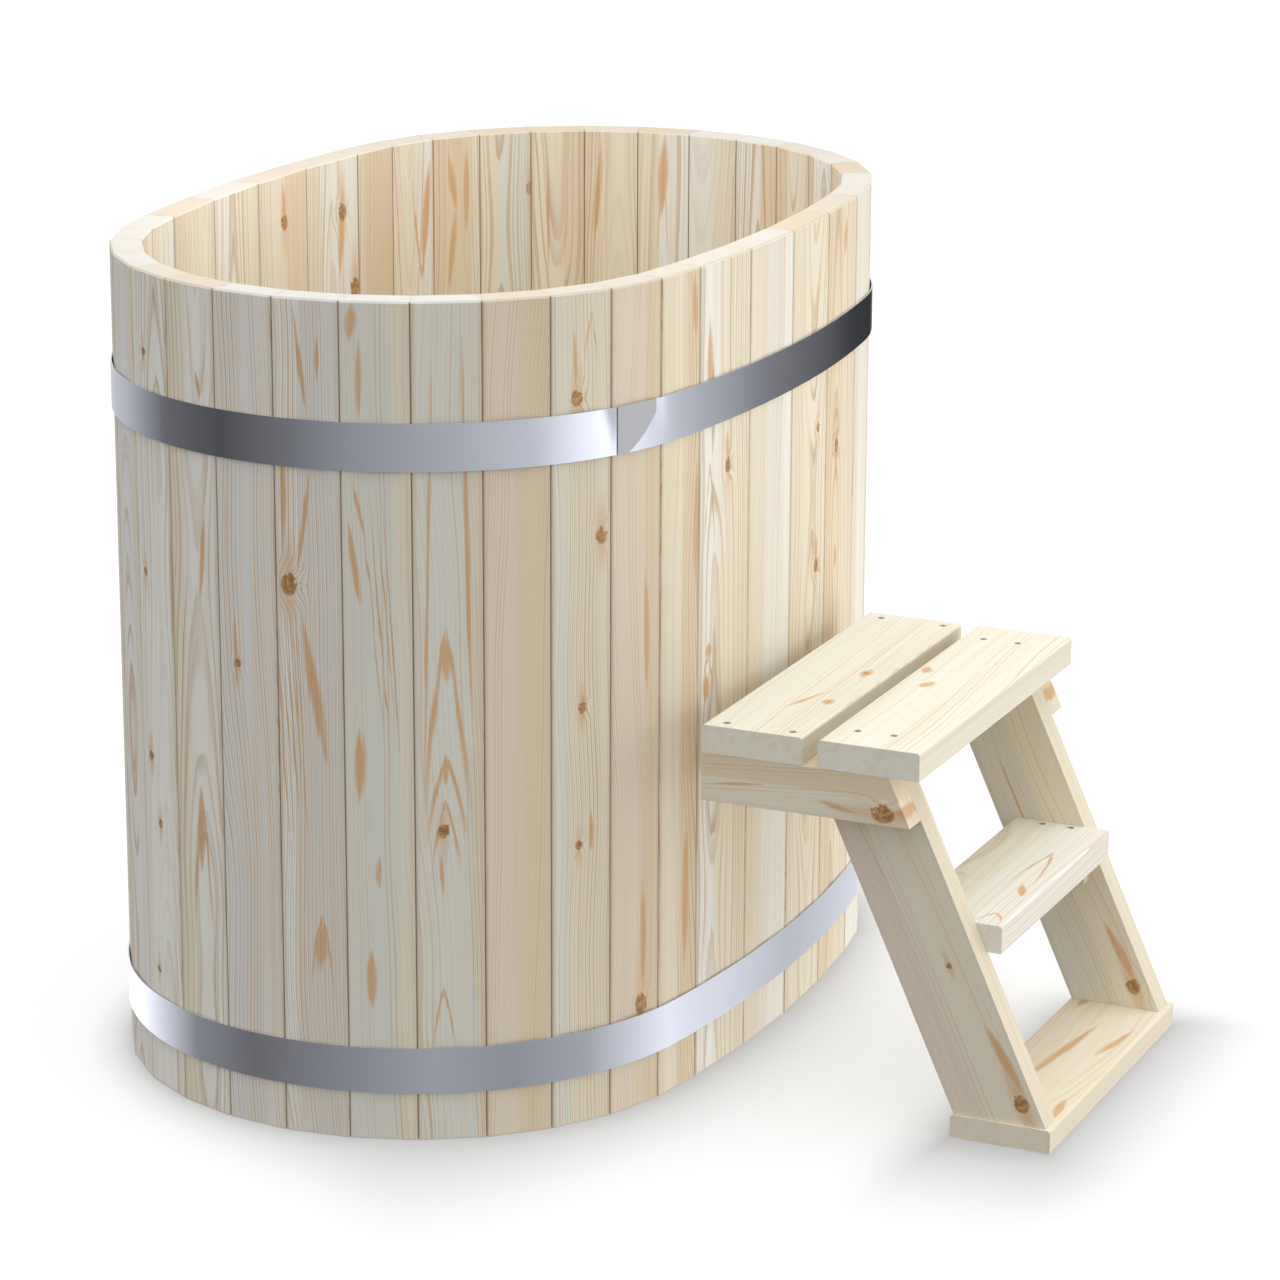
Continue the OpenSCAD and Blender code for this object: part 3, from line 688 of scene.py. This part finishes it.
def merged_copy(node_name, new_name, materials):
    """The node's own shape as one smooth skin with its edges eased; it stands for the node."""
    piece = bpy.data.objects.new(new_name, nodes[node_name].data.copy())
    bpy.context.scene.collection.objects.link(piece)
    bpy.context.view_layer.objects.active = piece
    piece.select_set(True)
    bpy.ops.mesh.customdata_custom_splitnormals_clear()
    bpy.ops.object.mode_set(mode="EDIT")
    bpy.ops.mesh.select_all(action="SELECT")
    bpy.ops.mesh.remove_doubles(threshold=1e-6)
    bpy.ops.mesh.dissolve_limited(angle_limit=math.radians(0.05))
    bpy.ops.object.mode_set(mode="OBJECT")
    bevel = piece.modifiers.new("eased_edges", "BEVEL")
    bevel.width = HOOP_EDGE
    bevel.segments = 1
    bevel.limit_method = "ANGLE"
    bevel.angle_limit = math.radians(50)
    bpy.ops.object.modifier_apply(modifier=bevel.name)
    bpy.ops.object.shade_smooth_by_angle(angle=math.radians(30))
    piece.data.materials.clear()
    for material in materials:
        piece.data.materials.append(material)
    piece.select_set(False)
    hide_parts(node_name)
    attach(piece, "tub")
    return piece


def dull_tail(hoop, middle):
    """The flat tail of the strip shows its duller side: its outer face, the largest near by. Its
    edges, which stand across the strip, are cut steel."""

    def from_middle(polygon):
        return (polygon.center - middle).xy.length

    near = [
        polygon
        for polygon in hoop.data.polygons
        if abs(polygon.normal.z) < UPRIGHT and from_middle(polygon) < TAIL_REACH
    ]
    outward = middle.xy.normalized()
    outer = [
        polygon
        for polygon in near
        if polygon.normal.xy.dot(outward) > SAME_WAY and from_middle(polygon) < TAIL_FACE_REACH
    ]
    face = max(outer, key=lambda polygon: polygon.area)
    face.material_index = DULL_SLOT
    for polygon in near:
        if abs(polygon.normal.xy.dot(face.normal.xy)) < EDGE_TO_FACE:
            polygon.material_index = CUT_SLOT


def dress_metal():
    strip = rolled_steel("hoop_strip", (0.84, 0.86, 0.92), roughness=0.10, waves=(6, 6, 900))
    dull = rolled_steel("hoop_strip_end", (0.57, 0.57, 0.57), roughness=0.42, waves=(6, 6, 900))
    steels = [strip, dull, cut_steel("hoop_strip_cut")]
    for height, side in (("upper", -1), ("lower", 1)):
        hoop = merged_copy(f"{height}_hoop", f"{height}_hoop_strip", steels)
        dull_tail(hoop, side * TAIL_MIDDLE)
    turned = rolled_steel(
        "drain_steel_turned", (0.78, 0.79, 0.80), roughness=0.22, waves=(300, 300, 900)
    )
    for name in ("drain_flange", "drain_nut"):
        dress(name, turned)
    zinc = rolled_steel(
        "screw_zinc", (0.42, 0.42, 0.41), roughness=0.38, waves=(500, 500, 500), marks=0.1
    )
    dress("step_screws", zinc)
    dress("drain_plug", rubber("plug_rubber"))
    dress("drain_gasket", rubber("gasket_rubber"))


# studio

# brightness that the polished hoops mirror, by compass bearing: -180 to 180 degrees from +X
HIGH_MIRROR = [(-180, 0.27), (-140, 0.40), (-111, 0.52), (-82, 0.98), (-60, 0.70), (-41, 0.46),
               (-28, 0.20), (-8, 0.045), (8, 0.035), (38, 0.53), (68, 0.43), (98, 0.14),
               (128, 0.08), (158, 0.17), (180, 0.27)]
LOW_MIRROR = [(-180, 0.25), (-150, 0.33), (-121, 0.28), (-90, 0.36), (-70, 0.56), (-46, 0.80),
              (-22, 0.48), (-4, 0.66), (30, 0.88), (64, 1.00), (84, 0.66), (108, 0.24), (138, 0.15),
              (165, 0.21), (180, 0.25)]
MIRROR_CONTRAST = 1.1
MIRROR_TINT = (1.29, 1.30, 1.37)
# how high a mirrored ray rises where the high table follows on the low one, and the sky on both
LOW_TO_HIGH = (-0.34, -0.24)
HIGH_TO_SKY = (-0.10, 0.15)
MIRRORED_SKY = (0.90, 0.92, 0.97)

# light on the wood: from the ground, from the even sky, from overhead and from a broad low light;
# the larger its focus, the narrower a light is
GROUND_LIGHT = (0.265, 0.270, 0.283)
SKY_LIGHT = (0.785, 0.800, 0.825)
OVERHEAD_LIGHT = (3.55, 3.60, 3.65)
OVERHEAD_FOCUS = 14.0
LOW_LIGHT = (2.20, 2.13, 2.03)
LOW_LIGHT_FOCUS = 4.0
LOW_LIGHT_WAY = (0.604, -0.720, -0.342)

# the camera was fitted to the photograph; its yaw turns from +X towards +Y
CAMERA_PLACE = Vector((-4.95937, -2.42114, 2.04656))
CAMERA_YAW, CAMERA_PITCH, CAMERA_ROLL = 0.423760, 0.282974, 0.003812
CAMERA_LENS_MM, CAMERA_SENSOR_MM = 127.585, 36

# the tub's oval on the floor: an end arc and a side arc, and where they meet; the bulge is how
# much smaller the radius of an end is than half of the width
HALF_LENGTH, HALF_WIDTH = 0.600, 0.385
SIDE_BULGE = 0.018
END_RADIUS = HALF_WIDTH - SIDE_BULGE
END_CENTRE = HALF_LENGTH - END_RADIUS
SIDE_RADIUS = (END_CENTRE ** 2 + HALF_WIDTH ** 2 - END_RADIUS ** 2) / (2 * SIDE_BULGE)
SIDE_CENTRE = SIDE_RADIUS - HALF_WIDTH
ARCS_MEET = END_CENTRE + END_RADIUS * END_CENTRE / math.hypot(END_CENTRE, SIDE_CENTRE)

FLOOR_SIZE = 60
# the floor lies this far under the feet
FLOOR_DROP = 0.0005
# the soft shade painted on it: how far it reaches, how fast it fades, and how dark it is at a foot
SHADE_REACH = 0.16
SHADE_FADE = 3.2
TUB_SHADE, STEP_SHADE = 0.38, 0.44
# how fast distance counts towards the reach, ahead of the tub and behind it, to its left and right
TUB_AHEAD, TUB_LEFT, TUB_RIGHT = 0.28, 1.70, 1.00
# and past the four sides of the step's base board
STEP_LEFT, STEP_RIGHT, STEP_FRONT, STEP_BACK = 0.305, 0.9, 0.578, 1.2


def studio():
    """Soft light from the step's side and above, dim from behind the camera's left."""
    world = bpy.data.worlds.new("studio")
    bpy.context.scene.world = world
    world.use_nodes = True
    shader = Shader(world.node_tree)
    x, y, z = shader.split(shader.node("TexCoord", output="Generated"))
    bearing = y.bearing_from(x) / (2 * math.pi) + 0.5

    def mirrored(stops):
        stops = [(0.5 + degrees / 360, shade ** MIRROR_CONTRAST) for degrees, shade in stops]
        return shader.node("ValToRGB", {"stops": stops}, {"Fac": bearing})

    mirror = shader.mix(z.from_to(*LOW_TO_HIGH), mirrored(LOW_MIRROR), mirrored(HIGH_MIRROR))
    mirror = shader.mix(1.0, mirror, MIRROR_TINT, "MULTIPLY")
    mirror = shader.mix(z.from_to(*HIGH_TO_SKY), mirror, MIRRORED_SKY)

    light = shader.mix(z.from_to(-0.02, 0.02), GROUND_LIGHT, SKY_LIGHT)
    overhead = shader.mix(z.at_least(0.0) ** OVERHEAD_FOCUS, 0.0, OVERHEAD_LIGHT)
    towards_low = x * LOW_LIGHT_WAY[0] + y * LOW_LIGHT_WAY[1] + z * LOW_LIGHT_WAY[2]
    low = shader.mix(towards_low.at_least(0.0) ** LOW_LIGHT_FOCUS, 0.0, LOW_LIGHT)
    light = shader.mix(1.0, shader.mix(1.0, light, overhead, "ADD"), low, "ADD")

    # the steel sees the mirror, all else the light, and the camera a white background
    lit = shader.mix(shader.node("LightPath", output="Is Glossy Ray"), light, mirror)
    out = shader.mix(shader.node("LightPath", output="Is Camera Ray"), lit, 1.0)
    background = shader.node("Background", {}, {"Color": out, "Strength": 1.0})
    shader.node("OutputWorld", {}, {"Surface": background})


def past_the_oval(x, y):
    """How far a floor point lies outside the tub's oval, as (x, y), for positive x and y."""
    offsets = []
    for centre, radius in (((0.0, -SIDE_CENTRE), SIDE_RADIUS), ((END_CENTRE, 0.0), END_RADIUS)):
        dx, dy = x - centre[0], y - centre[1]
        outside = (1.0 - radius / distance(dx, dy)).at_least(0.0)
        offsets.append((dx * outside, dy * outside))
    end = x.from_to(ARCS_MEET - 0.01, ARCS_MEET + 0.01)
    (side_x, side_y), (end_x, end_y) = offsets
    return side_x + (end_x - side_x) * end, side_y + (end_y - side_y) * end


def shade_at(reach, darkest):
    """How dark the shade painted on the floor is at a distance from a foot, in metres as the front
    view shows them.
    """
    return (1.0 - reach / SHADE_REACH).at_least(0.0) ** SHADE_FADE * darkest


def shade_round_the_tub(x, y):
    """It reaches furthest to the front, and less to the left than to the right."""
    east, north = past_the_oval(x.size(), y.size())
    east = east * (x.from_to(-MM, MM) * 2.0 - 1.0)
    north = north * (y.from_to(-MM, MM) * 2.0 - 1.0)
    ahead = (east * math.cos(CAMERA_YAW) + north * math.sin(CAMERA_YAW)) * TUB_AHEAD
    to_the_right = east * math.sin(CAMERA_YAW) - north * math.cos(CAMERA_YAW)
    aside = to_the_right.at_least(0.0) * TUB_RIGHT + (0.0 - to_the_right).at_least(0.0) * TUB_LEFT
    return shade_at(distance(ahead, aside), TUB_SHADE)


def shade_round_the_step(x, y):
    """It reaches furthest past the base board's left end, then past its front."""
    corners = nodes["base_board"].bound_box
    (left, front, _), (right, back, _) = corners[0], corners[6]
    endways = (left - x).at_least(0.0) * STEP_LEFT + (x - right).at_least(0.0) * STEP_RIGHT
    sideways = (front - y).at_least(0.0) * STEP_FRONT + (y - back).at_least(0.0) * STEP_BACK
    return shade_at(distance(endways, sideways), STEP_SHADE)


def floor():
    """A pale floor with a soft shade painted round the feet; it neither lights the tub nor is
    mirrored.
    """
    bpy.ops.mesh.primitive_plane_add(size=FLOOR_SIZE, location=(0, 0, -FLOOR_DROP))
    plane = bpy.context.active_object
    plane.name = "studio_floor"
    material, shader = new_material("studio_floor_paint")
    place = shader.object_place()
    mottle = shader.noise(place, 3.0)
    x, y, _ = shader.split(place)
    # painted shadow: the shade round the tub and the step darkens the floor's colour and glow
    clear = (1.0 - shade_round_the_tub(x, y)) * (1.0 - shade_round_the_step(x, y))
    paint = shader.mix(mottle, (0.345, 0.341, 0.334), (0.351, 0.347, 0.340))
    finish_surface(
        shader,
        Base_Color=shader.mix(clear, 0.0, paint),
        Roughness=0.9,
        Emission_Color=shader.mix(clear, 0.0, 1.0),
        Emission_Strength=0.62,
    )
    plane.data.materials.append(material)
    plane.visible_glossy = False
    plane.visible_diffuse = False
    plane.visible_shadow = False


def lamp_over_the_tub():
    """A soft box that lights the wood; the steel doesn't mirror it, and it isn't seen itself."""
    light = bpy.data.lights.new("over_the_tub", "AREA")
    light.energy = 2.1
    light.size = 0.45
    light.color = (0.93, 1.00, 1.14)
    box = bpy.data.objects.new("over_the_tub", light)
    place = Vector((-0.1, 0.0, 1.45))
    aim = Vector((0.15, 0, 0))
    box.location = place
    box.rotation_euler = (aim - place).to_track_quat("-Z", "Y").to_euler()
    box.visible_glossy = False
    box.visible_camera = False
    bpy.context.scene.collection.objects.link(box)


def camera():
    """The photograph's own view."""
    level = math.cos(CAMERA_PITCH)
    forward = Vector((
        math.cos(CAMERA_YAW) * level, math.sin(CAMERA_YAW) * level, -math.sin(CAMERA_PITCH),
    ))
    right = Vector((math.sin(CAMERA_YAW), -math.cos(CAMERA_YAW), 0))
    up = right.cross(forward)
    right, up = (
        right * math.cos(CAMERA_ROLL) + up * math.sin(CAMERA_ROLL),
        up * math.cos(CAMERA_ROLL) - right * math.sin(CAMERA_ROLL),
    )
    lens = bpy.data.cameras.new("camera")
    lens.sensor_width = CAMERA_SENSOR_MM
    lens.lens = CAMERA_LENS_MM
    lens.clip_end = 100
    eye = bpy.data.objects.new("camera", lens)
    turned = Matrix((right, up, -forward)).transposed().to_4x4()
    eye.matrix_world = Matrix.Translation(CAMERA_PLACE) @ turned
    bpy.context.scene.collection.objects.link(eye)
    bpy.context.scene.camera = eye


dress_staves()
dress_boards()
dress_metal()
studio()
lamp_over_the_tub()
floor()
camera()
bpy.context.scene.view_settings.view_transform = "Standard"
